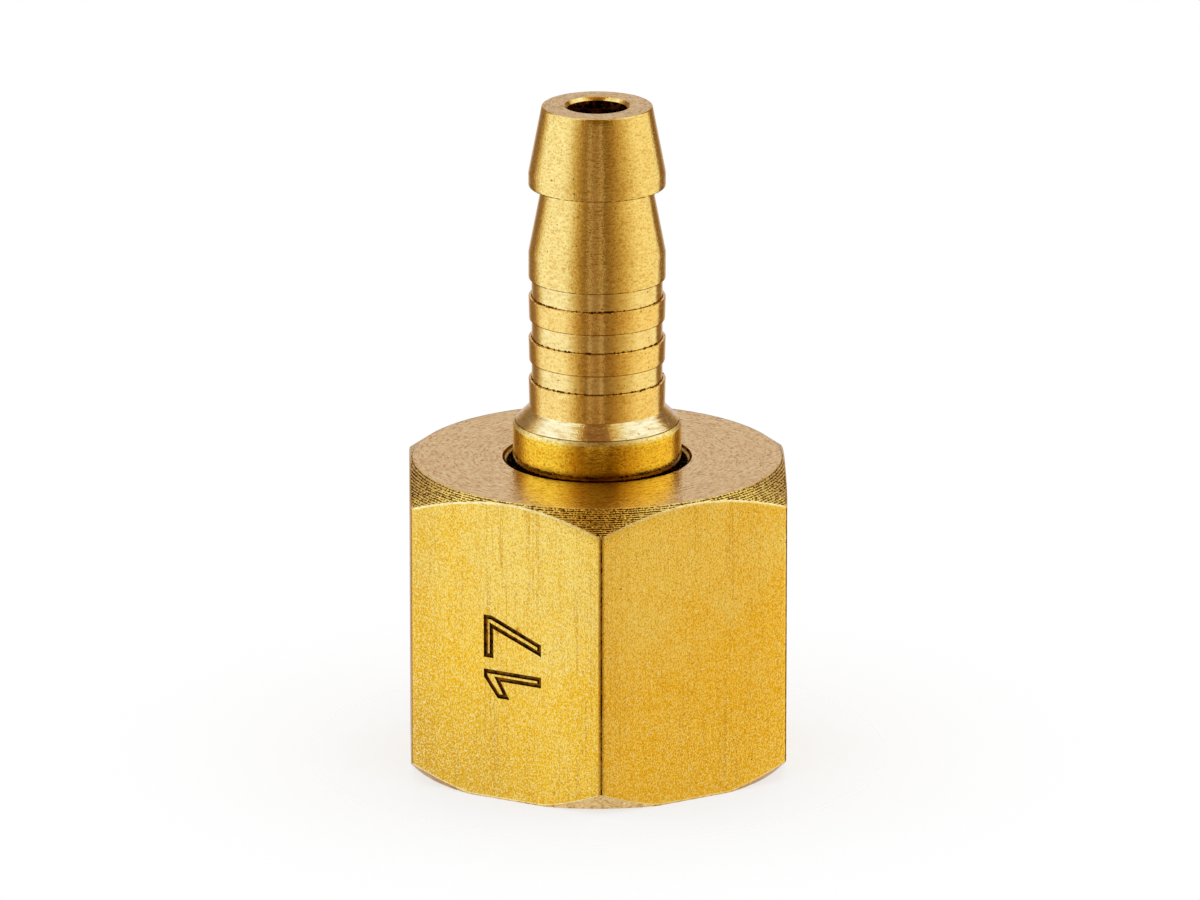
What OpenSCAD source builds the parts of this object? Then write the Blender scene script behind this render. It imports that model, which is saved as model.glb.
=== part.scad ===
// Swivel hose nipple: a barbed hose tail held in a hexagon union nut.
// Millimetres, +Z up. The origin is the centre of the nut's open end, on the common axis.

/* [Union nut] */
// Width across the flats of the hexagon
across_flats = 17; // [16.2:0.1:20]
// Height of the nut
nut_h = 14; // [12.5:0.1:20]
// How far the six upright corners are rounded off
corner_cut = 0.06; // [0.02:0.01:0.3]
// Diameter of the turned face on the closed end
top_face_d = 16.7; // [14:0.1:16.9]
// Slope of the chamfer round the closed end, in degrees from the face
top_chamfer_angle = 35; // [20:1:50]
// Diameter of the turned face on the open end
foot_face_d = 17.3; // [16:0.1:17.8]
// Slope of the chamfer round the open end, in degrees from the face
foot_chamfer_angle = 41; // [20:1:50]
// Thickness of the shoulder at the closed end
shoulder_h = 3; // [2:0.1:4]
// Chamfer round the top of the hole in the shoulder
hole_chamfer = 0.18; // [0.05:0.01:0.4]

/* [Thread] */
// Core diameter of the female thread
thread_core_d = 11.445; // [11.2:0.005:12]
// Largest diameter of the female thread
thread_major_d = 13.157; // [12.8:0.001:14]
// Height of the threaded wall
thread_h = 6.6; // [4:0.1:7]
// How much wider the mouth and the relief groove are than the thread
thread_relief = 0.24; // [0.05:0.01:0.6]

/* [Barbs and rings] */
// Diameter at the tip of the tail
tip_d = 5; // [4:0.05:5.5]
// Largest diameter of the barbs and rings
barb_d = 6.2; // [5.6:0.05:6.8]
// Height of the cone over each barb
barb_cone_h = 3.1; // [1.5:0.05:5]
// Height of the straight land of the upper barb
upper_land_h = 0.6; // [0.2:0.05:1.5]
// Height of the straight land of the lower barb
lower_land_h = 1.2; // [0.4:0.05:2]
// Number of sharp rings between the barbs and the collar
ring_count = 3; // [1:1:5]
// Height of one ring
ring_h = 1.07; // [0.6:0.01:2]
// Height of the groove over each ring
groove_h = 0.86; // [0.4:0.01:2]
// Depth of the groove over each ring
groove_depth = 0.14; // [0.12:0.01:0.5]
// Loss of diameter from the top of a ring to its foot
ring_taper = 0.06; // [0:0.01:0.08]
// Break of the lower edges of the rings and the lower barb
ring_edge = 0.06; // [0.02:0.01:0.07]

/* [Collar and journal] */
// Height of the plain stem between the lowest ring and the collar's slope
stem_h = 0.25; // [0.25:0.05:5]
// Radius of the hollow between the stem and the collar's slope
neck_fillet_r = 0.5; // [0.1:0.05:0.55]
// Diameter of the collar that stops the hose
collar_d = 7.64; // [7:0.02:8.4]
// Height of the straight side of the collar
collar_h = 1.9; // [0.8:0.05:4]
// Break of the lower edge of the collar
collar_edge = 0.15; // [0.05:0.01:0.25]
// Step between the collar and the journal that turns in the nut
journal_step = 0.25; // [0.1:0.05:0.6]

/* [Head and bore] */
// Height of the straight rim of the head
head_rim_h = 1; // [0.5:0.05:1.5]
// Width of the step between the head's rim and its nose
nose_step = 0.4; // [0.1:0.05:1]
// Height of the conical nose that seals
nose_h = 1.8; // [0.8:0.05:1.9]
// Included angle of the conical nose, in degrees
nose_angle = 60; // [40:1:75]
// Break of the outer edges of the tip and the head
edge_break = 0.1; // [0.05:0.01:0.2]
// Diameter of the bore through the tail
bore_d = 2.7; // [1.5:0.05:3.2]
// Chamfer at both ends of the bore
bore_chamfer = 0.15; // [0.05:0.01:0.3]

/* [Fits] */
// Gap on each side between the collar and the hole of the nut
hole_gap = 0.28; // [0.1:0.01:0.5]
// Gap on each side between the head and the thread that it passes through
head_gap = 0.22; // [0.1:0.01:0.5]
// Play between the head and the underside of the nut's shoulder
shoulder_play = 0.15; // [0.05:0.01:0.5]
// How far the collar reaches into the hole of the nut
collar_sink = 0.25; // [0.1:0.05:0.8]

/* [Hidden] */
// Cuts run past the faces that they open by this much
past = 1;
round_fn = 96;

// Radii and heights of the nut
sharp_corner_r = across_flats / 2 / cos(30);
blank_r = sharp_corner_r + past;
top_drop = (blank_r - top_face_d / 2) * tan(top_chamfer_angle);
foot_drop = (blank_r - foot_face_d / 2) * tan(foot_chamfer_angle);
collar_r = collar_d / 2;
hole_r = collar_r + hole_gap;
core_r = thread_core_d / 2;
relief_r = (thread_major_d + thread_relief) / 2;
mouth_h = relief_r - core_r;
thread_top_z = mouth_h + thread_h;
shoulder_z = nut_h - shoulder_h;

// Heights of the tail, from its nose up to its tip
head_top_z = shoulder_z - shoulder_play;
rim_z = head_top_z - head_rim_h;
nose_z = rim_z - nose_h;
collar_z = nut_h - collar_sink;
collar_top_z = collar_z + collar_h;
stem_z = collar_top_z + collar_r - barb_d / 2 + ring_taper / 2;
rings_z = stem_z + stem_h;
ring_pitch = ring_h + groove_h;
lower_barb_z = rings_z + ring_count * ring_pitch;
lower_cone_z = lower_barb_z + lower_land_h;
upper_barb_z = lower_cone_z + barb_cone_h;
upper_cone_z = upper_barb_z + upper_land_h;
tip_z = upper_cone_z + barb_cone_h;

// Radii of the tail
bore_r = bore_d / 2;
tip_r = tip_d / 2;
barb_r = barb_d / 2;
ring_foot_r = barb_r - ring_taper / 2;
groove_r = barb_r - groove_depth;
journal_r = collar_r - journal_step;
head_r = core_r - head_gap;
nose_base_r = head_r - nose_step;
nose_tip_r = nose_base_r - nose_h * tan(nose_angle / 2);
fillet_reach = neck_fillet_r * tan(22.5);

// The hexagon of the nut with rounded corners, one corner facing -Y
module rounded_hexagon() {
    intersection() {
        rotate(30) circle(r = sharp_corner_r, $fn = 6);
        circle(r = sharp_corner_r - corner_cut, $fn = round_fn);
    }
}

// The turned outline that chamfers both ends of the hexagon
module turned_blank() {
    rotate_extrude($fn = round_fn)
        polygon([
            [0, 0],
            [foot_face_d / 2, 0],
            [blank_r, foot_drop],
            [blank_r, nut_h - top_drop],
            [top_face_d / 2, nut_h],
            [0, nut_h]
        ]);
}

// What is turned out of the nut: mouth, thread core, relief groove and hole
module nut_bore() {
    rotate_extrude($fn = round_fn)
        polygon([
            [0, -past],
            [relief_r + past, -past],
            [core_r, mouth_h],
            [core_r, thread_top_z],
            [relief_r, thread_top_z],
            [relief_r, shoulder_z],
            [hole_r, shoulder_z],
            [hole_r, nut_h - hole_chamfer],
            [hole_r + hole_chamfer + past, nut_h + past],
            [0, nut_h + past]
        ]);
}

module union_nut() {
    color("#d9aa3f")
        difference() {
            intersection() {
                linear_extrude(nut_h) rounded_hexagon();
                turned_blank();
            }
            nut_bore();
        }
}

// Outline of the head and the journal, from the nose up
head_outline = [
    [nose_tip_r, nose_z],
    [nose_base_r, rim_z],
    [head_r - edge_break, rim_z],
    [head_r, rim_z + edge_break],
    [head_r, head_top_z - edge_break],
    [head_r - edge_break, head_top_z],
    [journal_r, head_top_z],
    [journal_r, collar_z]
];

// Outline of the collar and its slope
collar_outline = [
    [collar_r - collar_edge, collar_z],
    [collar_r, collar_z + collar_edge],
    [collar_r, collar_top_z],
    [ring_foot_r + fillet_reach * cos(45), stem_z - fillet_reach * sin(45)],
    [ring_foot_r, stem_z + fillet_reach],
    [ring_foot_r, rings_z]
];

// Outline of the rings: each has a square upper face and a groove over it
rings_outline = [
    for (ring = [0:ring_count - 1])
    let (
        z = rings_z + ring * ring_pitch,
        next_r = ring < ring_count - 1 ? ring_foot_r : barb_r
    )
    each [
        [barb_r, z + ring_h],
        [groove_r, z + ring_h],
        [groove_r, z + ring_pitch],
        [next_r - ring_edge, z + ring_pitch],
        [next_r, z + ring_pitch + ring_edge]
    ]
];

// Outline of the two barbs and the tip
barbs_outline = [
    [barb_r, lower_cone_z],
    [tip_r, upper_barb_z],
    [barb_r, upper_barb_z],
    [barb_r, upper_cone_z],
    [tip_r, tip_z - edge_break],
    [tip_r - edge_break, tip_z]
];

// Outline of the bore, from the tip down
bore_outline = [
    [bore_r + bore_chamfer, tip_z],
    [bore_r, tip_z - bore_chamfer],
    [bore_r, nose_z + bore_chamfer],
    [bore_r + bore_chamfer, nose_z]
];

// The circle that hollows the corner between the stem and the collar's slope
module neck_fillet() {
    translate([ring_foot_r + neck_fillet_r, stem_z + fillet_reach])
        circle(r = neck_fillet_r, $fn = round_fn);
}

module hose_tail() {
    color("#cf9d33")
        rotate_extrude($fn = round_fn)
            difference() {
                polygon(concat(
                    head_outline,
                    collar_outline,
                    rings_outline,
                    barbs_outline,
                    bore_outline
                ));
                neck_fillet();
            }
}

union_nut();
hose_tail();
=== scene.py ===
"""Looks of the swivel hose nipple: a hexagon union nut and a barbed hose tail, turned in brass.

Lengths are millimetres until a mesh is made, which is in metres.
"""

import math

import bmesh
import bpy
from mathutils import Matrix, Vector, noise


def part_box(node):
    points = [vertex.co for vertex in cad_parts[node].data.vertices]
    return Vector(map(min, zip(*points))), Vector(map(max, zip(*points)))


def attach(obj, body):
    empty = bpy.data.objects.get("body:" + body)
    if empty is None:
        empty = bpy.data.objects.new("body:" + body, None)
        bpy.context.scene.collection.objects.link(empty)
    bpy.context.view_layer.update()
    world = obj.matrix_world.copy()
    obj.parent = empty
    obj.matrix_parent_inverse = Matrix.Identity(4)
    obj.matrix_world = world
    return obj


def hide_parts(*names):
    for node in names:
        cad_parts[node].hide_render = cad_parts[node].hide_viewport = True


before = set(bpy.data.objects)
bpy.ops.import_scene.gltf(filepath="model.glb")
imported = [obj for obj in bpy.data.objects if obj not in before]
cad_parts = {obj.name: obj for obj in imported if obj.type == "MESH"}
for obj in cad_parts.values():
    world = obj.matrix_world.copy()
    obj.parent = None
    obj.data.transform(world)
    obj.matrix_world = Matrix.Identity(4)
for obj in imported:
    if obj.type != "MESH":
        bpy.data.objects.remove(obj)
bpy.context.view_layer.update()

MM = 0.001

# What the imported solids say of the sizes
nut_top_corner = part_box("union_nut")[1] / MM
tail_foot_corner, tail_top_corner = (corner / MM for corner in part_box("hose_tail"))
APOTHEM = nut_top_corner.x
NUT_H = nut_top_corner.z
TIP_Z = tail_top_corner.z
NOSE_Z = tail_foot_corner.z
HEAD_R = tail_top_corner.x

# Union nut: outside
TOP_FACE_R = 8.35
TOP_SLOPE = math.tan(math.radians(35))
FOOT_FACE_R = 8.65
FOOT_SLOPE = math.tan(math.radians(41))
CORNER_R = 0.34
FLAT_ROLL = 0.03
FLAT_ROLL_START = 3.1
EDGE_BREAK = 0.06
EDGE_LIP_IN = 0.25 * EDGE_BREAK
EDGE_LIP_DOWN = 0.2 * EDGE_BREAK
TOOL_LINE_PITCH = 0.1
TOOL_LINE_DEPTH = 0.009
JAG = 0.018

# Union nut: inside, with a 1/4 inch parallel pipe thread
SHOULDER_H = 3
HOLE_R = 4.1
HOLE_CHAMFER = 0.18
THREAD_CORE_R = 5.7225
THREAD_MAJOR_R = 6.5785
THREAD_PITCH = 1.337
THREAD_SHARP_H = 0.960491 * THREAD_PITCH
THREAD_FLANK = 1.1
THREAD_TOP_Z = 7.576
RELIEF_R = 6.6985
RELIEF_ROUND = 0.2
SHOULDER_ROUND = 0.1
HOLE_ROUND = 0.05

# Radius at which the mesh of the nut's outside ends on both faces
JOIN_R = 7.2

# How far the mesh of the hole reaches over the top face
TOP_RING_W = 1.2

# Sides of the hexagon, counted from the one that faces +X. A corner has the number of the side before it
SIDES = 6
SIDE_ANGLE = math.radians(60)
# The corner that shows a highlight, and has no painted dark line
HIGHLIT_CORNER = 3

# Hose tail
TIP_R = 2.5
BARB_R = 3.1
BARB_CONE_H = 3.1
UPPER_LAND_H = 0.6
LOWER_LAND_H = 1.2
RINGS = 3
RING_H = 1.07
GROOVE_H = 0.86
GROOVE_R = 2.96
RING_FOOT_R = 3.07
STEM_H = 0.25
LIP_H = 0.19
LIP_W = 0.1
LIP_STEP = 0.02
COLLAR_R = 3.82
COLLAR_SINK = 0.25
JOURNAL_R = 3.57
SHOULDER_PLAY = 0.15
HEAD_RIM_H = 1
NOSE_BASE_R = 5.1025
NOSE_TIP_R = 4.063
BORE_R = 1.35
BORE_CHAMFER = 0.15

# Heights of the tail, from its tip down to its head
UPPER_CONE_Z = TIP_Z - BARB_CONE_H
UPPER_BARB_Z = UPPER_CONE_Z - UPPER_LAND_H
LOWER_CONE_Z = UPPER_BARB_Z - BARB_CONE_H
LOWER_BARB_Z = TIP_Z - 2 * BARB_CONE_H - UPPER_LAND_H - LOWER_LAND_H
RING_PITCH = RING_H + GROOVE_H
RINGS_Z = LOWER_BARB_Z - RINGS * RING_PITCH
STEM_Z = RINGS_Z - STEM_H
COLLAR_TOP_Z = STEM_Z - (COLLAR_R - RING_FOOT_R)
SLOPE_Z = COLLAR_TOP_Z + LIP_W
COLLAR_Z = NUT_H - COLLAR_SINK
HEAD_TOP_Z = NUT_H - SHOULDER_H - SHOULDER_PLAY
RIM_Z = HEAD_TOP_Z - HEAD_RIM_H

# Heights of the rings' upper edges, and of the lower edges of the barbs and rings
RING_TOPS = [LOWER_BARB_Z - GROOVE_H - ring * RING_PITCH for ring in range(RINGS)]
LOWER_EDGES = [UPPER_BARB_Z] + [z + GROOVE_H for z in RING_TOPS]

# Roundings of the tail's corners
FINE_ROUND = 0.03
NOSE_ROUND = 0.08
HEAD_ROUND = 0.1
COLLAR_FOOT_ROUND = 0.16
LIP_ROUND = 0.07
STEP_FOOT_ROUND = 0.02
STEP_TOP_ROUND = 0.01
NECK_ROUND = 0.06
RING_TOP_ROUND = 0.02
RING_FOOT_ROUND = 0.05
LOWER_LAND_ROUND = 0.25
LOWER_TIP_ROUND = 0.08
BARB_EDGE_ROUND = 0.06
UPPER_LAND_ROUND = 0.2
TIP_ROUND = 0.1

# Wear of the tail, and where painted shade and dark lines lie on it
WEAR = 0.003
FINE_WEAR = 0.002
RAGGED = 0.045
RAGGED_REACH = 0.025
# Painted shade in the crease over each ring's top: its height and how ragged it is
CREASE_SHADE_H = 0.0385
CREASE_SHADE_SPREAD = 0.035
EDGE_LINE_H = 0.055
EDGE_LINE_SPREAD = 0.0385
# How ragged the painted shade at the collar's foot is
BORDER_SPREAD = 0.03
# Heights of the painted shade on the collar, where it goes into the nut: most at the lower, none at the
# upper
COLLAR_SHADE_HEIGHTS = (14.15, 14.6)

# Number stamped on one flat: the spanner size, in outline
DIGIT_H = 2.75
DIGIT_STROKE = 0.3
DIGIT_GAP = 0.75
ONE_W = 1.1
ONE_FLAG_X = 0.86
ONE_FLAG_DROP = 0.66
ONE_FLAG_H = 0.4
ONE_NOTCH_DROP = 0.6
SEVEN_W = 1.8
SEVEN_FOOT_LEFT = 0.46
SEVEN_FOOT_RIGHT = 0.8
SEVEN_NOTCH_X = 1.42
DIGIT_FLAT_ANGLE = 240
DIGIT_FOOT_U = 1.72
DIGIT_MIDDLE_Z = 6.7
STAMP_HALF_WIDTH = 0.1
STAMP_DEPTH = 0.1
STAMP_FLOOR_SHARE = 0.5

# How finely the meshes are divided
WELD = 1e-5
FLAT_COLUMNS = 48
CORNER_COLUMNS = 10
TAIL_COLUMNS = 288
MOST_ROWS = 12
ROW_STEP = 0.12
ARC_STEP = math.radians(20)
MOST_REACH = 0.45
STRAIGHT = math.radians(2)
CONE_ROWS = 12
FLAT_ROWS = 28
FACE_ROWS = 6
# Heights of the rows that hold the painted shade over the rings' tops
CREASE_SHADE_ROWS = (0.06, 0.09, 0.12)
SHARP_ANGLE = math.radians(40)
ROWS_PER_TURN = 16

# How far from an edge a face of the mesh still counts as on it
NEAR = 0.02

# Keeps the angle of the first column from coming out as a full turn
ANGLE_GUARD = 1e-6

# Camera: the photograph's angle, framing and scale
VIEW_AZIMUTH = -1.1
VIEW_ELEVATION = 16.5
VIEW_DISTANCE = 600
VIEW_TARGET = (0.13, -0.004, 14.275)
VIEW_NEAREST = 10
VIEW_FARTHEST = 10000
PIXELS_PER_MM = 22.075
IMAGE_WIDTH = 1200
SENSOR_WIDTH = 36

# Studio
FLOOR_R = 26
FLOOR_SEGMENTS = 96
FLOOR_FADE_START = 9
FLOOR_CLEAR = 0.7
FLOOR_TONE = (0.97, 0.97, 0.97)
WORLD_SEEN = 1
WORLD_ON_MATT = 1
CARD_STEPS = 32
WARM_EDGE = (1, 1.4, 2.3)

# The value that a material's noise varies round
NOISE_MIDDLE = 0.5

# Scratches and pits in the brass: how narrow a scratch is in its noise, the scale of the noise that
# picks its stretches, and how softly a scratch and a pit begin
FLECK_CORE = 0.02
FLECK_EDGE = 0.07
FLECK_PICK_SCALE = 1.9
FLECK_SOFTNESS = 0.05
PIT_SOFTNESS = 0.04

# Tones of the brass where shade is painted, and where it is scratched or pitted
PAINTED_SHADE_TONE = (0.16, 0.05, 0.003)
TURNED_PIT = (0.1, 0.045, 0.01)
DRAWN_PIT = (0.12, 0.05, 0.01)
DRAWN_BRIGHT = (1, 0.9, 0.42)
DRAWN_SCRATCH = (1, 0.92, 0.5)
DRAWN_FLECK = (0.42, 0.22, 0.02)


def wobble(x, y, z, scale):
    """Smooth noise from -1 to 1 that changes over about 1 / scale millimetres."""
    return noise.noise(Vector((x, y, z)) * scale)


def smooth_step(low, high, value):
    t = min(max((value - low) / (high - low), 0), 1)
    return t * t * (3 - 2 * t)


def turned_by(spoke, angle):
    """A flat vector turned by an angle."""
    x = spoke.x * math.cos(angle) - spoke.y * math.sin(angle)
    y = spoke.x * math.sin(angle) + spoke.y * math.cos(angle)
    return Vector((x, y))


def rounded(points):
    """Closed outline with an arc at each corner. A point is (radius, height, corner radius)."""
    outline = []
    for index, (x, z, corner_r) in enumerate(points):
        here = Vector((x, z))
        before = Vector(points[index - 1][:2]) - here
        after = Vector(points[(index + 1) % len(points)][:2]) - here
        turn = math.pi - before.angle(after)
        if corner_r == 0 or turn < STRAIGHT:
            outline.append(here)
            continue
        most = (before.length * MOST_REACH, after.length * MOST_REACH)
        reach = min(corner_r * math.tan(turn / 2), *most)
        arc_r = reach / math.tan(turn / 2)
        start = here + before.normalized() * reach
        end = here + after.normalized() * reach
        inward = (before.normalized() + after.normalized()).normalized()
        centre = here + inward * (arc_r / math.cos(turn / 2))
        side = math.copysign(1, (start - centre).cross(end - centre))
        pieces = max(2, math.ceil(turn / ARC_STEP))
        for step in range(pieces + 1):
            outline.append(centre + turned_by(start - centre, side * turn * step / pieces))
    return outline


def divided(outline, closed=True):
    """The outline with rows added along its longer stretches."""
    rows = []
    stretches = len(outline) if closed else len(outline) - 1
    for index in range(stretches):
        start = outline[index]
        end = outline[(index + 1) % len(outline)]
        pieces = min(MOST_ROWS, max(1, math.ceil((end - start).length / ROW_STEP)))
        rows += [start.lerp(end, step / pieces) for step in range(pieces)]
    if not closed:
        rows.append(outline[-1])
    return rows


def strip(shape, low, high, shift=0):
    """Faces between two columns of vertices, the second one shifted by some rows."""
    faces = []
    for row in range(len(low) - 1 - shift):
        corners = (low[row], high[row + shift], high[row + 1 + shift], low[row + 1])
        faces.append(shape.faces.new(corners))
    return faces


def add_object(name, data):
    """A new object in the scene."""
    thing = bpy.data.objects.new(name, data)
    bpy.context.collection.objects.link(thing)
    return thing


def add_mesh(name, shape):
    """A new object in the scene from a bmesh in metres."""
    mesh = bpy.data.meshes.new(name)
    shape.to_mesh(mesh)
    shape.free()
    return add_object(name, mesh)


def add_brass(name, shape, materials):
    """A new object in the scene from a bmesh in millimetres, with its materials."""
    bmesh.ops.remove_doubles(shape, verts=shape.verts, dist=WELD)
    bmesh.ops.scale(shape, vec=(MM, MM, MM), verts=shape.verts)
    bmesh.ops.recalc_face_normals(shape, faces=shape.faces)
    thing = add_mesh(name, shape)
    for material in materials:
        thing.data.materials.append(material)
    return thing


def finish_piece(piece, body, node):
    """Shades a piece and lets it stand for its CAD node on a body."""
    mesh = piece.data
    mesh.polygons.foreach_set("use_smooth", [True] * len(mesh.polygons))
    mesh.set_sharp_from_angle(angle=SHARP_ANGLE)
    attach(piece, body)
    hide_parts(node)


# Hose tail

TAIL_TURNED, TAIL_RING, TAIL_GROOVE, TAIL_SLOPE, TAIL_LIP = range(5)
TAIL_COLLAR, TAIL_FACED, TAIL_BORED, TAIL_CREASE_SHADE, TAIL_EDGE = range(5, 10)


def ring_points(ring):
    """Corners of one ring and of the groove over it, from the foot up."""
    z = RINGS_Z + ring * RING_PITCH
    top_z = z + RING_H
    next_z = z + RING_PITCH
    next_r = RING_FOOT_R if ring < RINGS - 1 else BARB_R
    return [
        (BARB_R, top_z, RING_TOP_ROUND),
        (GROOVE_R, top_z, FINE_ROUND),
        *((GROOVE_R, top_z + shade_h, 0) for shade_h in CREASE_SHADE_ROWS),
        (GROOVE_R, next_z, FINE_ROUND),
        (next_r, next_z, RING_FOOT_ROUND),
    ]


def tail_outline():
    """Half section of the tail: from the foot of the bore up the outside, and down the bore."""
    points = [
        (BORE_R, NOSE_Z + BORE_CHAMFER, FINE_ROUND),
        (BORE_R + BORE_CHAMFER, NOSE_Z, FINE_ROUND),
        (NOSE_TIP_R, NOSE_Z, NOSE_ROUND),
        (NOSE_BASE_R, RIM_Z, NOSE_ROUND),
        (HEAD_R, RIM_Z, HEAD_ROUND),
        (HEAD_R, HEAD_TOP_Z, HEAD_ROUND),
        (JOURNAL_R, HEAD_TOP_Z, HEAD_ROUND),
        (JOURNAL_R, COLLAR_Z, FINE_ROUND),
        (COLLAR_R, COLLAR_Z, COLLAR_FOOT_ROUND),
        (COLLAR_R, SLOPE_Z - LIP_H, LIP_ROUND),
        (COLLAR_R - LIP_W, SLOPE_Z - LIP_STEP, STEP_FOOT_ROUND),
        (COLLAR_R - LIP_W - LIP_STEP, SLOPE_Z + LIP_STEP, STEP_TOP_ROUND),
        (RING_FOOT_R, STEM_Z, NECK_ROUND),
    ]
    for ring in range(RINGS):
        points += ring_points(ring)
    return points + [
        (BARB_R, LOWER_CONE_Z, LOWER_LAND_ROUND),
        (TIP_R, UPPER_BARB_Z, LOWER_TIP_ROUND),
        (BARB_R, UPPER_BARB_Z, BARB_EDGE_ROUND),
        (BARB_R, UPPER_CONE_Z, UPPER_LAND_ROUND),
        (TIP_R, TIP_Z, TIP_ROUND),
        (BORE_R + BORE_CHAMFER, TIP_Z, FINE_ROUND),
        (BORE_R, TIP_Z - BORE_CHAMFER, FINE_ROUND),
    ]


def just_over(z, edges, height):
    """Whether a height lies over one of some edges by less than another height."""
    return any(0 < z - edge < height for edge in edges)


def barbs_region(z, radius, uneven):
    """The material of a face that is marked off on the rings, the barbs or the tip, else None."""
    # Painted shade in the crease over each ring's top, with a ragged edge
    if just_over(z, RING_TOPS, CREASE_SHADE_H + CREASE_SHADE_SPREAD * uneven) and radius < BARB_R - NEAR:
        return TAIL_CREASE_SHADE
    line_h = EDGE_LINE_H + EDGE_LINE_SPREAD * uneven
    if just_over(z, LOWER_EDGES, line_h) and radius > GROOVE_R + FINE_ROUND:
        return TAIL_EDGE
    if z > TIP_Z - NEAR and radius > BORE_R + BORE_CHAMFER:
        return TAIL_FACED
    if just_over(z, RING_TOPS, GROOVE_H) and radius < RING_FOOT_R - NEAR:
        return TAIL_GROOVE
    return None


def collar_region(z, radius, uneven):
    """The material of any other face of the outside, by its height."""
    if z < COLLAR_Z - NEAR / 2:
        return TAIL_TURNED
    # Painted shade at the collar's foot, where it goes into the nut
    border = BORDER_SPREAD * uneven
    if z < COLLAR_Z + COLLAR_FOOT_ROUND + border and radius > JOURNAL_R + FINE_ROUND + NEAR:
        return TAIL_CREASE_SHADE
    if z < SLOPE_Z - LIP_H - NEAR + border:
        return TAIL_COLLAR
    if z < SLOPE_Z - LIP_STEP:
        return TAIL_LIP
    if z < SLOPE_Z + LIP_STEP:
        return TAIL_EDGE
    if z < STEM_Z:
        return TAIL_SLOPE
    return TAIL_RING if z < RING_TOPS[0] + NEAR / 2 else TAIL_TURNED


def tail_region(face):
    """Which of the tail's materials a face has."""
    x, y, z = face.calc_center_median()
    radius = math.hypot(x, y)
    # The bore is dark with painted shade
    if radius < BORE_R + NEAR:
        return TAIL_BORED
    uneven = wobble(x, y, z, scale=6) + 0.8 * wobble(x, y, z, scale=14)
    region = barbs_region(z, radius, uneven)
    return collar_region(z, radius, uneven) if region is None else region


def tail_vertex(shape, side, radius, z):
    """A vertex of the tail, worn in a little, and hanging down where a ring's edge is ragged."""
    x, y = side * radius
    worn = WEAR * abs(wobble(x, y, z, scale=3)) + FINE_WEAR * abs(wobble(x, y, z, scale=9))
    sag = 0
    if radius > RING_FOOT_R and min(abs(z - top_z) for top_z in RING_TOPS) < RAGGED_REACH:
        sag = RAGGED * (max(0, wobble(x, y, z, scale=8)) + max(0, wobble(y, x, z, scale=15)))
    return shape.verts.new((*(side * (radius - worn)), z - sag))


def make_tail(materials):
    shape = bmesh.new()
    rows = divided(rounded(tail_outline()))
    columns = []
    for column in range(TAIL_COLUMNS):
        angle = 2 * math.pi * column / TAIL_COLUMNS
        side = Vector((math.cos(angle), math.sin(angle)))
        columns.append([tail_vertex(shape, side, row.x, row.y) for row in rows])
    for column, ring in enumerate(columns):
        next_ring = columns[(column + 1) % TAIL_COLUMNS]
        for row in range(len(rows)):
            after = (row + 1) % len(rows)
            shape.faces.new((ring[row], next_ring[row], next_ring[after], ring[after]))
    for face in shape.faces:
        face.material_index = tail_region(face)
    tail = add_brass("barbed_tail", shape, materials)
    finish_piece(tail, "tail", "hose_tail")


# Union nut

NUT_TURNED, NUT_FACED, NUT_RIM, NUT_CONE, NUT_DRAWN, NUT_CORNER, NUT_MARK = range(7)


def hexagon_columns():
    """Points round the hexagon: flats that roll off a little towards rounded corners."""
    edge_apothem = APOTHEM - FLAT_ROLL
    half_flat = (edge_apothem - CORNER_R) * math.tan(SIDE_ANGLE / 2)
    spoke = (edge_apothem - CORNER_R) / math.cos(SIDE_ANGLE / 2)
    columns = []
    for side in range(SIDES):
        middle = SIDE_ANGLE * side
        out = Vector((math.cos(middle), math.sin(middle)))
        along = Vector((-out.y, out.x))
        for step in range(FLAT_COLUMNS + 1):
            u = half_flat * (2 * step / FLAT_COLUMNS - 1)
            roll = max(0, (abs(u) - FLAT_ROLL_START) / (half_flat - FLAT_ROLL_START)) ** 2
            columns.append(out * (APOTHEM - FLAT_ROLL * roll) + along * u)
        corner = middle + SIDE_ANGLE / 2
        centre = Vector((math.cos(corner), math.sin(corner))) * spoke
        for step in range(1, CORNER_COLUMNS):
            angle = middle + SIDE_ANGLE * step / CORNER_COLUMNS
            columns.append(centre + Vector((math.cos(angle), math.sin(angle))) * CORNER_R)
    return columns


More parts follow.
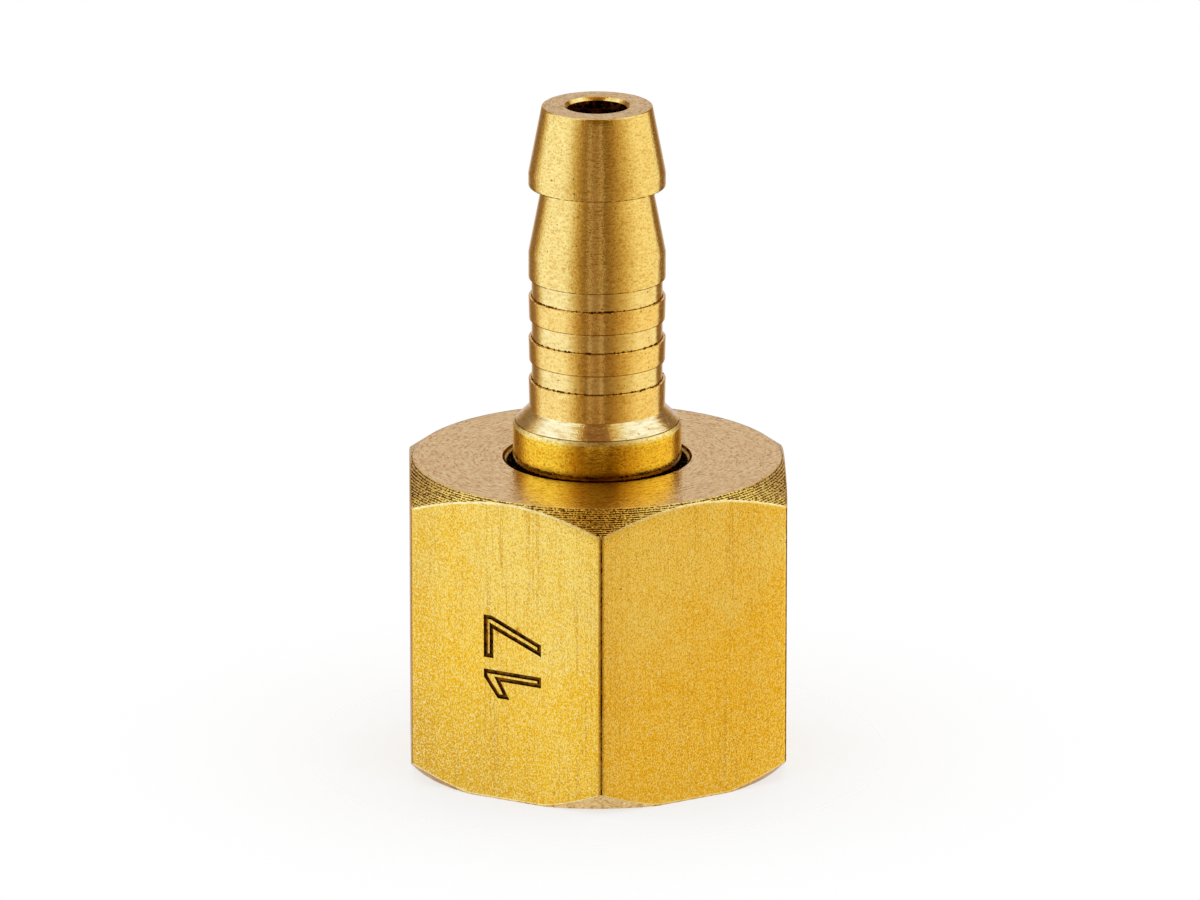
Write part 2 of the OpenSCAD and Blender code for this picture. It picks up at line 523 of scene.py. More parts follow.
def outside_rows(column):
    """(radius, height, material of the faces below) down the outside of the nut at a column."""
    corner_r = column.length
    cone_r = corner_r - EDGE_BREAK
    lip_r = corner_r - EDGE_LIP_IN
    broad_jag = wobble(column.x, column.y, 0, scale=4)
    fine_jag = wobble(column.x, column.y, 5, scale=11)
    jag = JAG * (broad_jag + 0.6 * fine_jag)
    top_z = NUT_H - (corner_r - TOP_FACE_R) * TOP_SLOPE + jag
    foot_z = max(corner_r - FOOT_FACE_R, EDGE_BREAK) * FOOT_SLOPE + jag / 2
    foot_r = min(FOOT_FACE_R, corner_r - EDGE_BREAK)
    flat_top = top_z - EDGE_BREAK
    flat_foot = foot_z + EDGE_BREAK

    rows = []
    for step in range(FACE_ROWS):
        rows.append((JOIN_R + (TOP_FACE_R - JOIN_R) * step / FACE_ROWS, NUT_H, NUT_FACED))
    for step in range(CONE_ROWS + 1):
        t = step / CONE_ROWS
        r = TOP_FACE_R + (cone_r - TOP_FACE_R) * t
        # The last band of the chamfer, the burr and the top of the flat carry a painted highlight
        material = NUT_CONE if step < CONE_ROWS else NUT_RIM
        rows.append((r, NUT_H - (r - TOP_FACE_R) * TOP_SLOPE + jag * t, material))
    rows.append((lip_r, top_z - EDGE_LIP_DOWN, NUT_RIM))
    for step in range(FLAT_ROWS + 1):
        # The flat's last band and the burr at its foot carry a painted highlight too
        material = NUT_DRAWN if step < FLAT_ROWS else NUT_RIM
        rows.append((corner_r, flat_top + (flat_foot - flat_top) * step / FLAT_ROWS, material))
    rows.append((lip_r, foot_z + EDGE_LIP_DOWN, NUT_RIM))
    for step in range(CONE_ROWS + 1):
        t = step / CONE_ROWS
        rows.append((cone_r + (foot_r - cone_r) * t, foot_z * (1 - t), NUT_TURNED))
    for step in range(1, FACE_ROWS + 1):
        rows.append((foot_r + (JOIN_R - foot_r) * step / FACE_ROWS, 0, NUT_TURNED))
    return rows


def thread_radius(turn):
    """Radius of the 55 degree pipe thread at a part of a turn. Its crests and roots are rounded."""
    depth_half = (THREAD_MAJOR_R - THREAD_CORE_R) / 2
    middle_r = (THREAD_MAJOR_R + THREAD_CORE_R) / 2
    slant = (2 * abs(2 * (turn % 1) - 1) - 1) * THREAD_SHARP_H / 2 / depth_half
    return middle_r + depth_half * math.tanh(slant * (THREAD_FLANK + slant * slant / 2))


def thread_rows(turn):
    """(radius, height) up the threaded wall at an angle in turns. Each row climbs with the helix."""
    rows = []
    for row in range((math.ceil(THREAD_TOP_Z / THREAD_PITCH) + 2) * ROWS_PER_TURN):
        z = (row / ROWS_PER_TURN - 1 + turn) * THREAD_PITCH
        z = min(max(z, 0), THREAD_TOP_Z)
        mouth_r = RELIEF_R - z
        rows.append((max(thread_radius(z / THREAD_PITCH - turn), mouth_r), z))
    return rows


def shoulder_rows():
    """Points over the thread: relief groove, shoulder, hole and part of the top face."""
    shoulder_z = NUT_H - SHOULDER_H
    outline = rounded(
        [
            (JOIN_R, NUT_H, 0),
            (JOIN_R, THREAD_TOP_Z, 0),
            (RELIEF_R, THREAD_TOP_Z, 0),
            (RELIEF_R, shoulder_z, RELIEF_ROUND),
            (HOLE_R, shoulder_z, SHOULDER_ROUND),
            (HOLE_R, NUT_H - HOLE_CHAMFER, HOLE_ROUND),
            (HOLE_R + HOLE_CHAMFER, NUT_H, HOLE_ROUND),
            (HOLE_R + HOLE_CHAMFER + TOP_RING_W, NUT_H, 0),
        ]
    )
    return divided(outline[2:], closed=False)


def join_ring(shape, inner, outer, material):
    """Faces between a ring of vertices and one with twice as many."""
    for index, corner in enumerate(inner):
        after = inner[(index + 1) % len(inner)]
        first = outer[2 * index]
        middle = outer[2 * index + 1]
        last = outer[(2 * index + 2) % len(outer)]
        for corners in ((corner, first, middle), (corner, middle, after), (after, middle, last)):
            shape.faces.new(corners).material_index = material


def add_outside(shape, columns):
    """The nut's outside. A painted dark line of shade runs down each corner but the one that shows a
    highlight.
    """
    outside = []
    for column in columns:
        side = column.normalized()
        outside.append([shape.verts.new((*(side * r), z)) for r, z, material in outside_rows(column)])
    materials = [material for r, z, material in outside_rows(columns[0])]
    per_side = FLAT_COLUMNS + CORNER_COLUMNS
    corner_middle = FLAT_COLUMNS + CORNER_COLUMNS / 2
    for index, column in enumerate(outside):
        corner, place = divmod(index, per_side)
        lined = abs(place + 0.5 - corner_middle) < 1 and corner != HIGHLIT_CORNER
        faces = strip(shape, column, outside[(index + 1) % len(outside)])
        for face, material in zip(faces, materials):
            face.material_index = NUT_CORNER if lined and material == NUT_DRAWN else material
    return outside


def hole_region(face):
    """Which material a face of the shoulder or the hole has."""
    middle = face.calc_center_median()
    reach = math.hypot(middle.x, middle.y) - HOLE_R
    if middle.z <= NUT_H - HOLE_CHAMFER:
        return NUT_TURNED
    if reach > HOLE_CHAMFER + FINE_ROUND:
        return NUT_FACED
    # On the hole's chamfer: a painted highlight on its inner half and painted shade on its outer half
    return NUT_RIM if reach < HOLE_CHAMFER / 2 else NUT_CORNER


def add_inside(shape, columns):
    """The nut's thread, and the shoulder and hole over it, with half as many columns as outside."""
    threads = []
    shoulders = []
    start_angle = math.atan2(columns[0].y, columns[0].x)
    for column in columns[::2]:
        side = column.normalized()
        angle = (math.atan2(side.y, side.x) - start_angle + ANGLE_GUARD) % (2 * math.pi)
        rows = thread_rows(angle / (2 * math.pi))
        threads.append([shape.verts.new((*(side * r), z)) for r, z in rows])
        shoulders.append([shape.verts.new((*(side * row.x), row.y)) for row in shoulder_rows()])
    for index in range(len(threads)):
        last = index == len(threads) - 1
        after = 0 if last else index + 1
        strip(shape, threads[index], threads[after], ROWS_PER_TURN if last else 0)
        for face in strip(shape, shoulders[index], shoulders[after]):
            face.material_index = hole_region(face)
        step = (threads[index][-1], threads[after][-1], shoulders[after][0], shoulders[index][0])
        shape.faces.new(step)
    return threads, shoulders


def nut_shape():
    shape = bmesh.new()
    columns = hexagon_columns()
    outside = add_outside(shape, columns)
    threads, shoulders = add_inside(shape, columns)
    foot_edge = [column[-1] for column in outside]
    top_edge = [column[0] for column in outside]
    join_ring(shape, [column[0] for column in threads], foot_edge, NUT_TURNED)
    join_ring(shape, [column[-1] for column in shoulders], top_edge, NUT_FACED)
    return shape


# The stamped number

def digit_outlines():
    """Outlines of the digits 1 and 7, and the number's length. x runs along it, y up the digits."""
    top = DIGIT_H
    one = [
        (ONE_W, 0),
        (ONE_W, top),
        (ONE_FLAG_X, top),
        (0, top - ONE_FLAG_DROP),
        (0, top - ONE_FLAG_DROP - ONE_FLAG_H),
        (ONE_W - DIGIT_STROKE, top - ONE_NOTCH_DROP),
        (ONE_W - DIGIT_STROKE, 0),
    ]
    seven = [
        (0, top),
        (SEVEN_W, top),
        (SEVEN_W, top - DIGIT_STROKE),
        (SEVEN_FOOT_RIGHT, 0),
        (SEVEN_FOOT_LEFT, 0),
        (SEVEN_NOTCH_X, top - DIGIT_STROKE),
        (0, top - DIGIT_STROKE),
    ]
    start = ONE_W + DIGIT_GAP
    return [one, [(x + start, y) for x, y in seven]], start + SEVEN_W


def offset_outline(outline, distance):
    """The closed outline moved sideways, with mitred corners."""
    moved = []
    for index, point in enumerate(outline):
        here = Vector(point)
        before = (here - Vector(outline[index - 1])).normalized()
        after = (Vector(outline[(index + 1) % len(outline)]) - here).normalized()
        first = Vector((before.y, -before.x))
        second = Vector((after.y, -after.x))
        moved.append(here + (first + second) * distance / (1 + first.dot(second)))
    return moved


def number_cutter(materials):
    """A solid ribbon along each digit's outline, which cuts the grooves of the number."""
    angle = math.radians(DIGIT_FLAT_ANGLE)
    out = Vector((math.cos(angle), math.sin(angle), 0))
    along = Vector((-out.y, out.x, 0))
    outlines, length = digit_outlines()
    start_z = DIGIT_MIDDLE_Z - length / 2
    # Share of the ribbon's width, and height over the flat: above it, at it and in the groove's floor
    section = ((1, STAMP_DEPTH), (1, 0), (STAMP_FLOOR_SHARE, -STAMP_DEPTH))
    shape = bmesh.new()
    for outline in outlines:
        rings = []
        for width, height in section:
            for half in (STAMP_HALF_WIDTH * width, -STAMP_HALF_WIDTH * width):
                ring = []
                for x, y in offset_outline(outline, half):
                    place = out * (APOTHEM + height) + along * (DIGIT_FOOT_U - y)
                    ring.append(shape.verts.new((place.x, place.y, start_z + x)))
                rings.append(ring)
        # Once round the section: down one side of the ribbon and up the other
        round_order = [rings[index] for index in (0, 2, 4, 5, 3, 1)]
        for index, ring in enumerate(round_order):
            other = round_order[(index + 1) % len(round_order)]
            for corner in range(len(outline)):
                after = (corner + 1) % len(outline)
                face = shape.faces.new((ring[corner], ring[after], other[after], other[corner]))
                face.material_index = NUT_MARK
    return add_brass("number_cutter", shape, materials)


def make_nut(materials):
    nut = add_brass("union_nut_brass", nut_shape(), materials)
    cutter = number_cutter(materials)
    cut = nut.modifiers.new("number", "BOOLEAN")
    cut.operation = "DIFFERENCE"
    cut.solver = "EXACT"
    cut.object = cutter
    graph = bpy.context.evaluated_depsgraph_get()
    whole = nut.data
    nut.data = bpy.data.meshes.new_from_object(nut.evaluated_get(graph))
    nut.modifiers.clear()
    bpy.data.meshes.remove(whole)
    bpy.data.objects.remove(cutter)
    finish_piece(nut, "nut", "union_nut")


# Brass

class Metal:
    """A metal under construction. Most methods add nodes and return the socket that they give."""

    def __init__(self, name):
        self.material = bpy.data.materials.new(name)
        self.material.use_nodes = True
        self.nodes = self.material.node_tree.nodes
        self.links = self.material.node_tree.links
        self.shader = self.nodes["Principled BSDF"]
        self.shader.inputs["Metallic"].default_value = 1
        place = self.nodes.new("ShaderNodeTexCoord")
        self.place = self.vector("SCALE", place.outputs["Object"], Scale=1 / MM)

    def put(self, socket, value):
        if isinstance(value, bpy.types.NodeSocket):
            self.links.new(value, socket)
        else:
            socket.default_value = value

    def vector(self, operation, first, second=(0, 0, 0), output=0, **named):
        node = self.nodes.new("ShaderNodeVectorMath")
        node.operation = operation
        self.put(node.inputs[0], first)
        self.put(node.inputs[1], second)
        for name, value in named.items():
            self.put(node.inputs[name], value)
        return node.outputs[output]

    def math(self, operation, first, second=0.0):
        node = self.nodes.new("ShaderNodeMath")
        node.operation = operation
        self.put(node.inputs[0], first)
        self.put(node.inputs[1], second)
        return node.outputs[0]

    def plus(self, first, second):
        return self.math("ADD", first, second)

    def minus(self, first, second):
        return self.math("SUBTRACT", first, second)

    def times(self, first, second):
        return self.math("MULTIPLY", first, second)

    def split(self, vector):
        node = self.nodes.new("ShaderNodeSeparateXYZ")
        self.put(node.inputs[0], vector)
        return node.outputs

    def stretched(self, x, y, z):
        """The place with its coordinates multiplied, so that a noise is stretched."""
        return self.vector("MULTIPLY", self.place, (x, y, z))

    def axis_distance(self):
        """Distance from the axis, in millimetres."""
        return self.vector("LENGTH", self.stretched(1, 1, 0), output="Value")

    def turned_place(self, around):
        """Coordinates along the turning lines: slow round the axis, quick across the lines."""
        x, y, z = self.split(self.place)
        across = self.minus(z, self.axis_distance())
        node = self.nodes.new("ShaderNodeCombineXYZ")
        self.put(node.inputs[0], self.times(x, around))
        self.put(node.inputs[1], self.times(y, around))
        self.put(node.inputs[2], across)
        return node.outputs[0]

    def noise(self, vector, scale, detail=2.0, roughness=0.5):
        node = self.nodes.new("ShaderNodeTexNoise")
        self.put(node.inputs["Vector"], vector)
        node.inputs["Scale"].default_value = scale
        node.inputs["Detail"].default_value = detail
        node.inputs["Roughness"].default_value = roughness
        return node.outputs["Fac"]

    def ramp(self, value, low, high, out_low=0.0, out_high=1.0):
        """Maps a range of values to another range, smoothly and within its ends."""
        node = self.nodes.new("ShaderNodeMapRange")
        node.interpolation_type = "SMOOTHSTEP"
        for socket, number in zip(node.inputs, (value, low, high, out_low, out_high)):
            self.put(socket, number)
        return node.outputs[0]

    def mix(self, share, first, second):
        node = self.nodes.new("ShaderNodeMix")
        node.data_type = "RGBA"
        self.put(node.inputs["Factor"], share)
        for socket, colour in ((node.inputs[6], first), (node.inputs[7], second)):
            self.put(socket, colour if isinstance(colour, bpy.types.NodeSocket) else (*colour, 1))
        return node.outputs[2]

    def stain(self, colour, tone, mask, strength):
        """The colour with a tone over it where the mask is 1."""
        return self.mix(self.times(mask, strength), colour, tone)

    def grey(self, value):
        """A value as a colour, so that it can be mixed."""
        node = self.nodes.new("ShaderNodeCombineXYZ")
        for socket in node.inputs:
            self.put(socket, value)
        return node.outputs[0]

    def bump(self, height, depth, normal=None):
        """Bump whose height runs over a depth in millimetres."""
        node = self.nodes.new("ShaderNodeBump")
        node.inputs["Strength"].default_value = 1
        node.inputs["Distance"].default_value = depth * MM
        self.put(node.inputs["Height"], height)
        if normal is not None:
            self.put(node.inputs["Normal"], normal)
        return node.outputs[0]

    def finish(self, colour, roughness, normal):
        self.put(self.shader.inputs["Base Color"], colour)
        self.put(self.shader.inputs["Roughness"], roughness)
        self.put(self.shader.inputs["Normal"], normal)
        return self.material


def toned(metal, value, dark, middle, light, spread):
    """A colour that goes from dark over middle to light as a value goes up round a half."""
    lower = metal.mix(metal.ramp(value, NOISE_MIDDLE - spread, NOISE_MIDDLE), dark, middle)
    return metal.mix(metal.ramp(value, NOISE_MIDDLE, NOISE_MIDDLE + spread), lower, light)


def scaled(colour, *factors):
    """A colour with its red, green and blue changed by factors, up to full."""
    return tuple(min(1, tone * factor) for tone, factor in zip(colour, factors))


def flecks(metal, scale, chance):
    """Short curved scratches: stretches of the contour lines of one noise, picked by another."""
    height = metal.minus(metal.noise(metal.place, scale, detail=0), NOISE_MIDDLE)
    line = metal.ramp(metal.math("ABSOLUTE", height), FLECK_CORE, FLECK_EDGE, out_low=1, out_high=0)
    picker = metal.noise(metal.place, scale * FLECK_PICK_SCALE, detail=0)
    return metal.times(line, metal.ramp(picker, chance, chance + FLECK_SOFTNESS))


def pits(metal, scale, chance):
    """Small dark pits, where a noise is highest."""
    return metal.ramp(metal.noise(metal.place, scale, detail=1), chance, chance + PIT_SOFTNESS)


def turned_brass(name, gold, roughness, contrast, grain, lines, shade_heights=None):
    """Brass off the lathe: lines round the axis, fine grain, mottling, pits and short scratches.
    Grain is its scale and depth, lines are their scale, depth and share of the colour.
    Shade heights, if given, are a pair for painted shade: most at the lower one, none at the upper one."""
    metal = Metal(name)
    grain_scale, grain_depth = grain
    line_scale, line_depth, line_share = lines
    line = metal.noise(metal.turned_place(around=0.3), line_scale, detail=2, roughness=0.6)
    dashes = metal.noise(metal.turned_place(around=0.45), scale=12, detail=0)
    speck = metal.noise(metal.place, grain_scale, detail=1, roughness=0.6)
    mottle = metal.noise(metal.place, scale=1.1, detail=4, roughness=0.6)
    fine = metal.plus(metal.times(speck, 0.6), metal.times(dashes, 0.4))
    both = metal.mix(line_share, metal.grey(fine), metal.grey(line))
    scratch = flecks(metal, scale=4.5, chance=0.64)
    pit = pits(metal, scale=6, chance=0.74)
    dark = scaled(gold, 1 - 0.5 * contrast, 1 - 0.7 * contrast, 1 - contrast)
    light = scaled(gold, 1 + 0.3 * contrast, 1 + 0.4 * contrast, 1 + contrast)
    colour = toned(metal, both, dark, gold, light, spread=0.12)
    colour = metal.stain(colour, dark, metal.ramp(mottle, low=0.5, high=0.75), strength=0.35)
    # Painted shade: darker towards the lower height, with a ragged edge
    if shade_heights:
        most_z, none_z = shade_heights
        ragged_z = metal.plus(metal.split(metal.place)["Z"], metal.times(mottle, 0.3))
        shaded = metal.ramp(ragged_z, most_z, none_z, out_low=0.95, out_high=0)
        colour = metal.mix(shaded, colour, PAINTED_SHADE_TONE)
    colour = metal.stain(colour, scaled(light, 1.1, 1.1, 1.2), scratch, strength=0.25)
    dark_fleck = flecks(metal, scale=5.5, chance=0.66)
    colour = metal.stain(colour, scaled(dark, 0.6, 0.5, 0.4), dark_fleck, strength=0.35)
    colour = metal.stain(colour, TURNED_PIT, pit, strength=0.8)
    normal = metal.bump(line, line_depth)
    normal = metal.bump(fine, grain_depth, normal)
    normal = metal.bump(scratch, depth=0.002, normal=normal)
    normal = metal.bump(pit, depth=-0.004, normal=normal)
    return metal.finish(colour, roughness, normal)


def lined_brass(name, gold, dark, light):
    """Brass with close tool lines round the axis, broken up by grain: the chamfer over the flats."""
    metal = Metal(name)
    reach = metal.minus(metal.axis_distance(), TOP_FACE_R)
    line = metal.math("COSINE", metal.times(reach, 2 * math.pi / TOOL_LINE_PITCH))
    grain = metal.noise(metal.place, scale=9, detail=1, roughness=0.6)
    # The tool lines' colour is painted shade in their grooves and painted glints between them, over the
    # grain's tone
    value = metal.plus(metal.times(line, 0.13), grain)
    colour = toned(metal, value, dark, gold, light, spread=0.07)
    normal = metal.bump(line, TOOL_LINE_DEPTH)
    normal = metal.bump(grain, depth=0.016, normal=normal)
    return metal.finish(colour, roughness=0.25, normal=normal)


def drawn_brass(name, gold, pale, dull):
    """Brass as the hexagon bar was drawn: faint upright lines, fine grain, dents and scratches.
    Painted light makes it paler towards the top, and painted shade duller at the foot, most of all at the
    left."""
    metal = Metal(name)
    x, y, z = metal.split(metal.place)
    upright = metal.stretched(1, 1, 0.03)
    lines = metal.noise(upright, scale=8, detail=1, roughness=0.6)
    broad_lines = metal.noise(upright, scale=0.9, detail=1)
    fine = metal.noise(metal.stretched(1, 1, 0.7), scale=17, detail=0)
    coarse = metal.noise(metal.place, scale=7, detail=1)
    grain = metal.plus(metal.times(fine, 0.8), metal.times(coarse, 0.2))
    mottle = metal.noise(metal.place, scale=0.5, detail=3)
    scratch = flecks(metal, scale=4, chance=0.6)
    pit = pits(metal, scale=5, chance=0.78)

    outward = metal.ramp(metal.math("ABSOLUTE", y), low=5, high=9, out_low=-0.1, out_high=0.1)
    # Painted light: paler towards the top
    painted_top_light = metal.ramp(z, low=2, high=12, out_low=-0.28, out_high=0.14)
    paleness = metal.plus(painted_top_light, metal.plus(outward, mottle))
    colour = metal.mix(metal.ramp(paleness, low=0.25, high=0.8), gold, pale)

    broad = metal.ramp(broad_lines, low=0.4, high=0.6, out_low=0.15, out_high=0.85)
    lined = metal.times(metal.ramp(lines, low=0.5, high=0.7), broad)
    colour = metal.mix(lined, colour, dull)

    # Painted shade: duller at the foot, most of all at the left, and along the left edge
    painted_foot_shade = metal.ramp(z, low=1, high=7, out_low=0.6, out_high=0)
    painted_left_shade = metal.ramp(x, low=-5.5, high=-2, out_low=1, out_high=0.2)
    painted_left_edge_shade = metal.ramp(x, low=-8.4, high=-6.6, out_low=0.5, out_high=0)
    colour = metal.mix(metal.plus(metal.times(painted_foot_shade, painted_left_shade), painted_left_edge_shade), colour, dull)

    dim = metal.mix(0.45, colour, scaled(dull, 0.85, 0.7, 0.4))
    bright = metal.mix(0.5, colour, DRAWN_BRIGHT)
    colour = toned(metal, grain, dim, colour, bright, spread=0.14)
    colour = metal.stain(colour, DRAWN_SCRATCH, scratch, strength=0.6)
    colour = metal.stain(colour, DRAWN_FLECK, flecks(metal, scale=5, chance=0.62), strength=0.5)
    colour = metal.stain(colour, DRAWN_PIT, pit, strength=0.7)
    normal = metal.bump(lines, depth=0.003)
    normal = metal.bump(grain, depth=0.004, normal=normal)
    normal = metal.bump(scratch, depth=0.003, normal=normal)
    normal = metal.bump(pit, depth=-0.006, normal=normal)
    return metal.finish(colour, roughness=0.25, normal=normal)


def dark_brass(name, light, dark, roughness):
    """Dark brass: painted shade in the bore, creases and corners; dirt and oxide in stamped grooves; dark
    edge lines.
    """
    metal = Metal(name)
    rings = metal.noise(metal.turned_place(around=0.3), scale=4, detail=2)
    spots = metal.noise(metal.place, scale=5, detail=2)
    share = metal.ramp(metal.plus(rings, spots), low=0.85, high=1.15)
    normal = metal.bump(rings, depth=0.004)
    metal.shader.inputs["Specular Tint"].default_value = (*light, 1)
    return metal.finish(metal.mix(share, light, dark), roughness, normal)


def nut_metals():
    """The nut's materials, in the order of their numbers. Roughness and contrast follow the gold."""
    return [
        turned_brass("nut_turned", (0.78, 0.53, 0.18), 0.25, 0.7, grain=(9, 0.008), lines=(8, 0.004, 0.3)),
        turned_brass("nut_faced", (0.95, 0.71, 0.27), 0.2, 0.75, grain=(6, 0.018), lines=(7, 0.01, 0.5)),
        # Pale: a painted highlight along the edge breaks and the hole's chamfer
        turned_brass("nut_rim", (1, 0.86, 0.42), 0.25, 0.4, grain=(12, 0.006), lines=(8, 0.003, 0.3)),
        # Dark and light: the grain's tones, and painted shade and glints along the tool lines
        lined_brass("nut_cone", gold=(1, 0.62, 0.08), dark=(0.11, 0.045, 0.004), light=(1, 0.85, 0.25)),
        # Dull: the tone of the drawn lines, and of the painted shade at the foot
        drawn_brass("nut_drawn", gold=(1, 0.63, 0.028), pale=(1, 0.75, 0.15), dull=(0.74, 0.43, 0.028)),
        # Dark: painted shade down the corners and round the hole's chamfer
        dark_brass("nut_corner", light=(0.4, 0.23, 0.02), dark=(0.04, 0.02, 0.002), roughness=0.3),
        dark_brass("nut_mark", light=(0.26, 0.11, 0.012), dark=(0.06, 0.025, 0.005), roughness=0.5),
    ]


def tail_metals():
    """The tail's materials, in the order of their numbers. Roughness and contrast follow the gold."""
    return [
        turned_brass("tail_turned", (0.97, 0.74, 0.26), 0.1, 0.44, grain=(11, 0.009), lines=(8, 0.006, 0.3)),
        turned_brass("tail_ring", (0.97, 0.69, 0.22), 0.12, 0.42, grain=(12, 0.006), lines=(9, 0.005, 0.3)),
        turned_brass("tail_groove", (0.97, 0.77, 0.32), 0.12, 0.35, grain=(9, 0.003), lines=(8, 0.005, 0.5)),
        # Pale: a painted sheen on the slope over the collar
        turned_brass("tail_slope", (1, 0.87, 0.52), 0.12, 0.35, grain=(9, 0.003), lines=(5, 0.012, 0.8)),
        # Pale and rough: a painted highlight along the lip
        turned_brass("tail_lip", (1, 0.84, 0.36), 0.35, 0.5, grain=(9, 0.005), lines=(6, 0.006, 0.3)),
        # Deep orange, partly the brass's own colour and partly a painted reflection; darker towards its
        # foot: painted shade
        turned_brass(
            "tail_collar", (1, 0.7, 0.08), 0.12, 0.6,
            grain=(10, 0.011), lines=(9, 0.004, 0.3), shade_heights=COLLAR_SHADE_HEIGHTS,
        ),
        turned_brass("tail_faced", (0.84, 0.66, 0.26), 0.25, 0.65, grain=(7, 0.01), lines=(8, 0.006, 0.5)),
        # Dark: painted shade inside the bore
        dark_brass("tail_bored", light=(0.45, 0.16, 0.04), dark=(0.015, 0.006, 0.003), roughness=0.3),
        # Dark: painted shade in the creases over the rings and at the collar's foot
        dark_brass("tail_crease_painted_shade", light=(0.16, 0.065, 0.01), dark=(0.06, 0.02, 0.003), roughness=0.4),
        dark_brass("tail_edge", light=(0.42, 0.23, 0.04), dark=(0.18, 0.08, 0.012), roughness=0.3),
    ]


# Studio

def studio_direction(azimuth, elevation):
    """Direction in degrees: azimuth 0 is the viewer's side, elevation is above the floor."""
    a = math.radians(azimuth)
    e = math.radians(elevation)
    return Vector((math.sin(a) * math.cos(e), -math.cos(a) * math.cos(e), math.sin(e)))


def arch_direction(across, along):
    """Direction on arches that rise from the viewer's side (along 0) over the top (along 90)."""
    c = math.radians(across)
    a = math.radians(along)
    return Vector((math.sin(c), -math.cos(c) * math.cos(a), math.cos(c) * math.sin(a)))


def bare_material(name):
    """A material with nothing but its output, and the socket of that output."""
    material = bpy.data.materials.new(name)
    material.use_nodes = True
    material.node_tree.nodes.clear()
    output = material.node_tree.nodes.new("ShaderNodeOutputMaterial")
    return material, output.inputs["Surface"]


def card_material(name):
    """Emits the colours of the mesh's glow and lets its clear through."""
    material, surface = bare_material(name)
    nodes, links = material.node_tree.nodes, material.node_tree.links
    both = nodes.new("ShaderNodeAddShader")
    layers = (("glow", "ShaderNodeEmission"), ("clear", "ShaderNodeBsdfTransparent"))
    for index, (layer, kind) in enumerate(layers):
        tone = nodes.new("ShaderNodeAttribute")
        tone.attribute_name = layer
        shader = nodes.new(kind)
        links.new(tone.outputs["Color"], shader.inputs["Color"])
        links.new(shader.outputs[0], both.inputs[index])
    links.new(both.outputs[0], surface)
    return material


def cover(azimuth, elevation, azimuths, elevations, softness):
    """How much of the light behind it a card holds back at a place, from 0 to 1."""
    left, right, low, high = softness
    margins = (
        (azimuth - azimuths[0], left),
        (azimuths[1] - azimuth, right),
        (elevation - elevations[0], low),
        (elevations[1] - elevation, high),
    )
    return math.prod(smooth_step(0, width, margin) for margin, width in margins if width)


def make_card(name, distance, azimuths, elevations, softness, shade, direction=studio_direction):
    """A card on a dome round the object, which only reflections see. Each edge, left, right, low
    and high, fades over its softness in degrees, and lets red through before green and blue."""
    shape = bmesh.new()
    glow = shape.verts.layers.float_color.new("glow")
    clear = shape.verts.layers.float_color.new("clear")
    rows = []
    for row in range(CARD_STEPS + 1):
        elevation = elevations[0] + (elevations[1] - elevations[0]) * row / CARD_STEPS
        line = []
        for column in range(CARD_STEPS + 1):
            azimuth = azimuths[0] + (azimuths[1] - azimuths[0]) * column / CARD_STEPS
            open_share = 1 - cover(azimuth, elevation, azimuths, elevations, softness)
            let_through = [open_share ** power for power in WARM_EDGE]
            vertex = shape.verts.new(direction(azimuth, elevation) * distance * MM)
            vertex[clear] = (*let_through, 1)
            vertex[glow] = (*(tone * (1 - light) for tone, light in zip(shade, let_through)), 1)
            line.append(vertex)
        rows.append(line)
    for row in range(CARD_STEPS):
        strip(shape, rows[row], rows[row + 1])
    card = add_mesh(name, shape)
    card.data.materials.append(card_material(name))
    card.visible_camera = False
    card.visible_diffuse = False
    card.visible_shadow = False


def floor_material():
    """Pale and matt under the object, and see-through towards the floor's edge."""
    material, surface = bare_material("floor")
    nodes, links = material.node_tree.nodes, material.node_tree.links
    place = nodes.new("ShaderNodeTexCoord")
    reach = nodes.new("ShaderNodeVectorMath")
    reach.operation = "LENGTH"
    fade = nodes.new("ShaderNodeMapRange")
    fade.interpolation_type = "SMOOTHSTEP"
    fade.inputs["From Min"].default_value = FLOOR_FADE_START * MM
    fade.inputs["From Max"].default_value = FLOOR_R * MM
    fade.inputs["To Min"].default_value = FLOOR_CLEAR
    fade.inputs["To Max"].default_value = 1
    matt = nodes.new("ShaderNodeBsdfDiffuse")
    matt.inputs["Color"].default_value = (*FLOOR_TONE, 1)
    beyond = nodes.new("ShaderNodeBsdfTransparent")
    blend = nodes.new("ShaderNodeMixShader")
    links.new(place.outputs["Object"], reach.inputs[0])
    links.new(reach.outputs["Value"], fade.inputs["Value"])
    links.new(fade.outputs[0], blend.inputs[0])
    links.new(matt.outputs[0], blend.inputs[1])
    links.new(beyond.outputs[0], blend.inputs[2])
    links.new(blend.outputs[0], surface)
    return material


def make_floor():
    """A pale floor that keeps the shadow and melts into the white background."""
    shape = bmesh.new()
    bmesh.ops.create_circle(shape, cap_ends=True, radius=FLOOR_R * MM, segments=FLOOR_SEGMENTS)
    floor = add_mesh("floor", shape)
    floor.data.materials.append(floor_material())


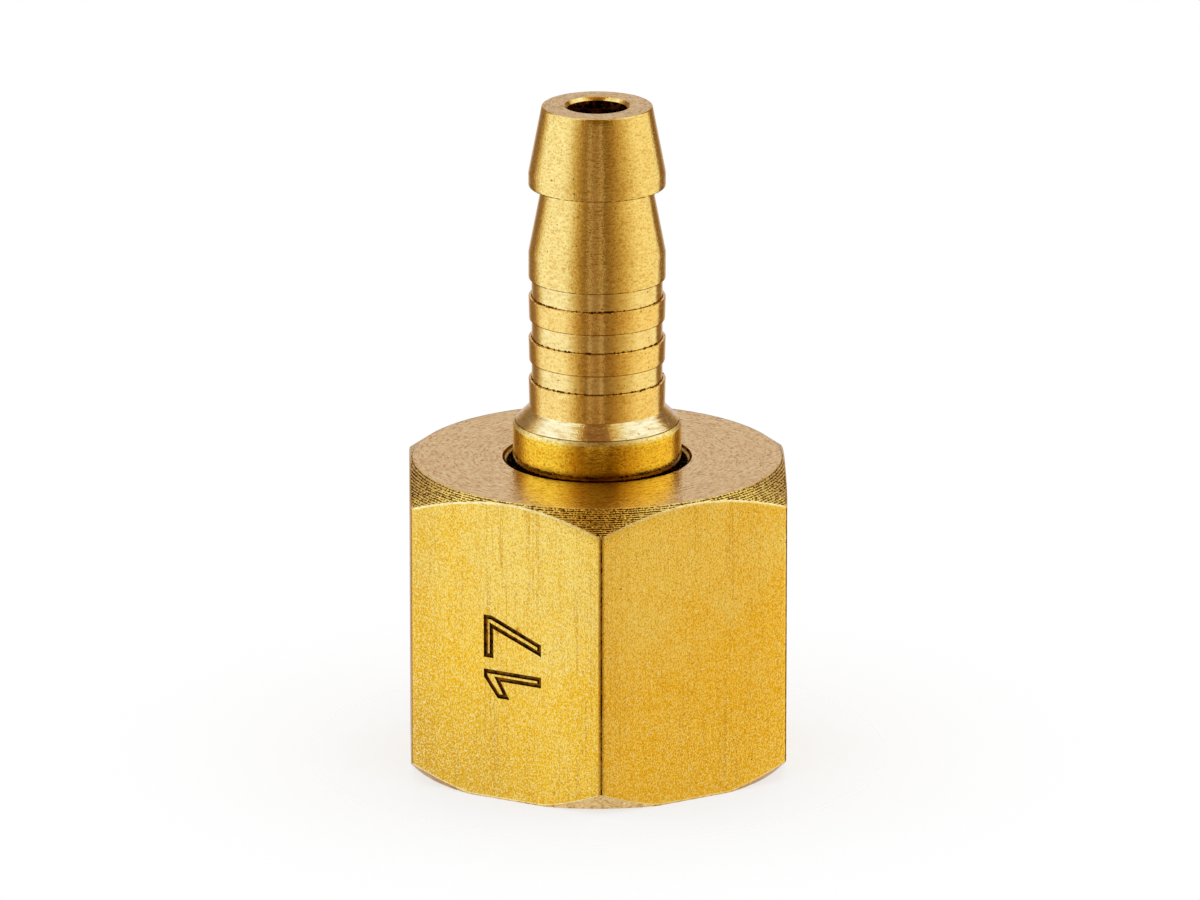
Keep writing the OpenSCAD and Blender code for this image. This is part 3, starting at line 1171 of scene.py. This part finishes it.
def make_world():
    """White for camera, mirror and glass rays, and at its own strength for matt surfaces."""
    world = bpy.data.worlds.new("studio")
    bpy.context.scene.world = world
    world.use_nodes = True
    nodes, links = world.node_tree.nodes, world.node_tree.links
    path = nodes.new("ShaderNodeLightPath")
    seen = path.outputs["Is Camera Ray"]
    for ray in ("Is Glossy Ray", "Is Transmission Ray"):
        either = nodes.new("ShaderNodeMath")
        either.operation = "MAXIMUM"
        links.new(seen, either.inputs[0])
        links.new(path.outputs[ray], either.inputs[1])
        seen = either.outputs[0]
    strength = nodes.new("ShaderNodeMapRange")
    strength.inputs["To Min"].default_value = WORLD_ON_MATT
    strength.inputs["To Max"].default_value = WORLD_SEEN
    background = nodes["Background"]
    background.inputs["Color"].default_value = (1, 1, 1, 1)
    links.new(seen, strength.inputs["Value"])
    links.new(strength.outputs[0], background.inputs["Strength"])


def make_softbox(name, azimuth, elevation, distance, size, watts):
    data = bpy.data.lights.new(name, "AREA")
    data.shape = "RECTANGLE"
    data.size, data.size_y = (side * MM for side in size)
    data.energy = watts
    lamp = add_object(name, data)
    direction = studio_direction(azimuth, elevation)
    lamp.location = direction * distance * MM
    lamp.rotation_euler = direction.to_track_quat("Z", "Y").to_euler()
    lamp.visible_camera = False


def make_camera():
    data = bpy.data.cameras.new("camera")
    data.sensor_width = SENSOR_WIDTH
    data.lens = PIXELS_PER_MM * SENSOR_WIDTH * VIEW_DISTANCE / IMAGE_WIDTH
    data.clip_start = VIEW_NEAREST * MM
    data.clip_end = VIEW_FARTHEST * MM
    camera = add_object("camera", data)
    back = studio_direction(VIEW_AZIMUTH, VIEW_ELEVATION)
    camera.location = (Vector(VIEW_TARGET) + back * VIEW_DISTANCE) * MM
    camera.rotation_euler = back.to_track_quat("Z", "Y").to_euler()
    bpy.context.scene.camera = camera


bpy.context.scene.view_settings.view_transform = "Standard"

make_camera()
make_world()
make_floor()

# Name, distance, azimuths, elevations, softness of the four edges, and shade of each card
make_card("front_card", 900, (-65, 84), (-60, 80), (50, 76, 10, 30), (0.245, 0.15, 0.055))
make_card("front_strip", 860, (-18, 10.5), (-50, 20), (2, 2, 10, 9), (0.48, 0.33, 0.2))
make_card("front_middle", 840, (-12, 4.5), (-50, 20), (4, 4, 10, 9), (0.32, 0.2, 0.1))
make_card("right_wall", 930, (25, 125), (-60, 34), (35, 10, 10, 12), (0.97, 0.86, 0.62))
make_card("top_card", 820, (-180, 180), (60, 90), (0, 0, 18, 0), (0.52, 0.3, 0.065))
make_card("arch", 800, (-18, 34), (10, 46), (10, 16, 8, 8), (0.15, 0.085, 0.005), arch_direction)
make_card("high_arch", 780, (-19, 17), (40, 84), (9, 9, 8, 8), (0.23, 0.105, 0.033), arch_direction)
make_card("back_card", 900, (140, 220), (-50, 55), (12, 12, 10, 20), (0.67, 0.56, 0.57))
make_card("left_line", 860, (-172, -106), (-50, 50), (24, 34, 10, 20), (0.26, 0.16, 0.08))
make_card("right_line", 860, (120, 168), (-50, 50), (15, 24, 10, 20), (0.24, 0.14, 0.06))
make_softbox("left_softbox", azimuth=-94, elevation=25, distance=700, size=(400, 400), watts=0.03)
make_softbox("right_softbox", azimuth=104, elevation=25, distance=700, size=(300, 300), watts=0.02)

make_nut(nut_metals())
make_tail(tail_metals())
